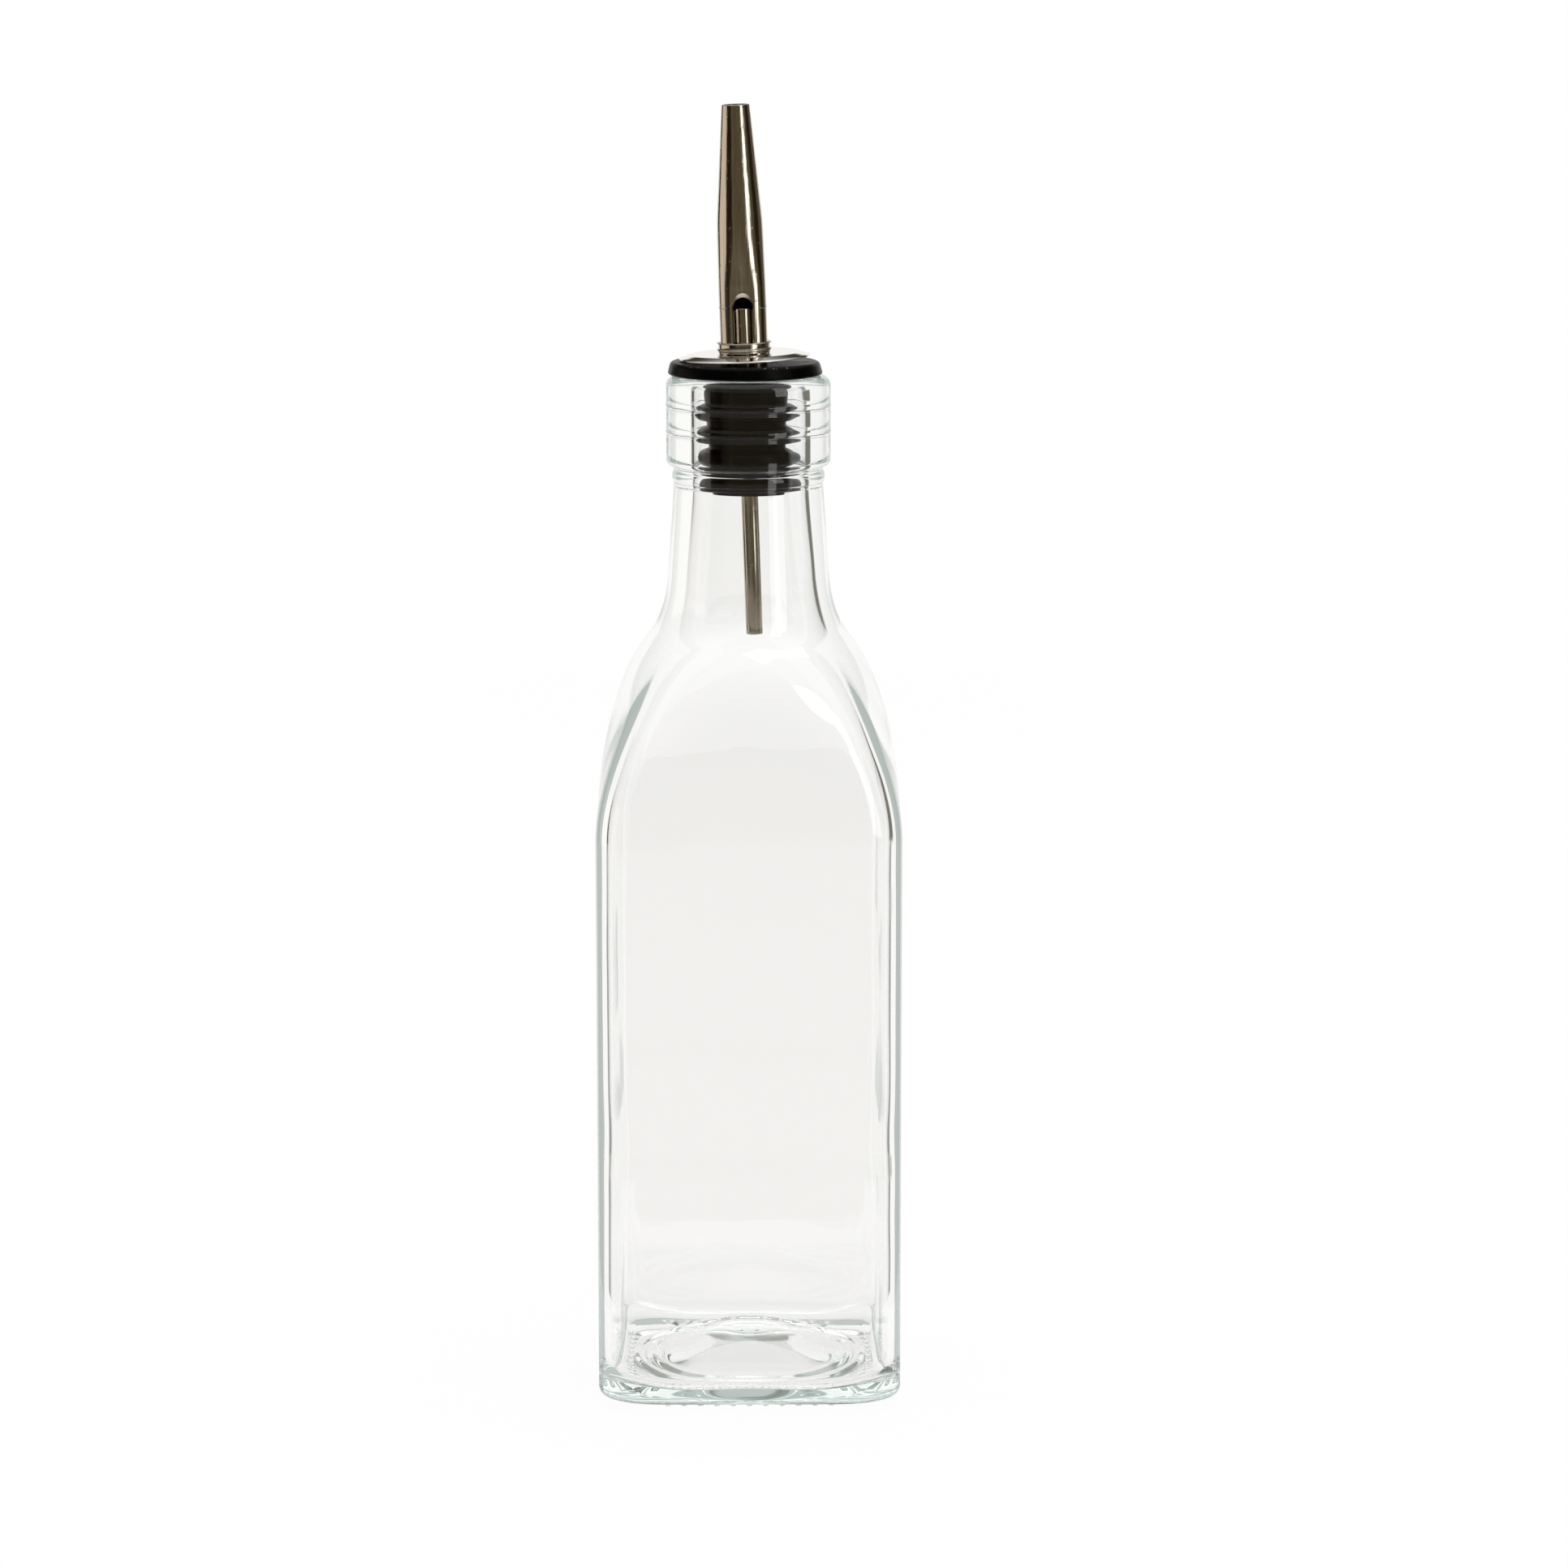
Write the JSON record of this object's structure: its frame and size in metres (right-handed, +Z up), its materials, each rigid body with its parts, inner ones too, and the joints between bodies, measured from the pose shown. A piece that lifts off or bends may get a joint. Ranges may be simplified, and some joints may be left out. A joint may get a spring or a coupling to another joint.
{
  "type": "oil dispenser bottle",
  "caption": "Square clear glass bottle with a round neck, closed by a ribbed rubber cork that holds a tapered steel pourer with an air tube.",
  "frame": {"origin": "middle of the base, on the plane that the bottle stands on", "axes": "+Z up along the bottle's axis, -Y towards the side of the spout that has the groove and the air tube, +X to the right seen from there"},
  "size_m": [0.06, 0.06, 0.256],
  "materials": {
    "clear_glass": "clear pressed and blown glass, faintly green in its thick edges",
    "black_rubber": "moulded, dull satin",
    "polished_steel": "polished stainless steel"
  },
  "bodies": {
    "bottle": {"glass_bottle": "clear_glass"},
    "stopper": {"rubber_cork": "black_rubber"},
    "pourer": {"spout": "polished_steel", "air_tube": "polished_steel", "collar": "polished_steel", "washer": "polished_steel"}
  },
  "joints": [
    {"name": "stopper_lift", "type": "slide", "parent": "bottle", "child": "stopper", "axis": [0, 0, 1], "range_m": [0, 0.06]},
    {"name": "spout_turn", "type": "hinge", "parent": "stopper", "child": "pourer", "pos_m": [0, 0, 0.1858], "axis": [-0.0349, 0, 0.9994], "continuous": true}
  ]
}
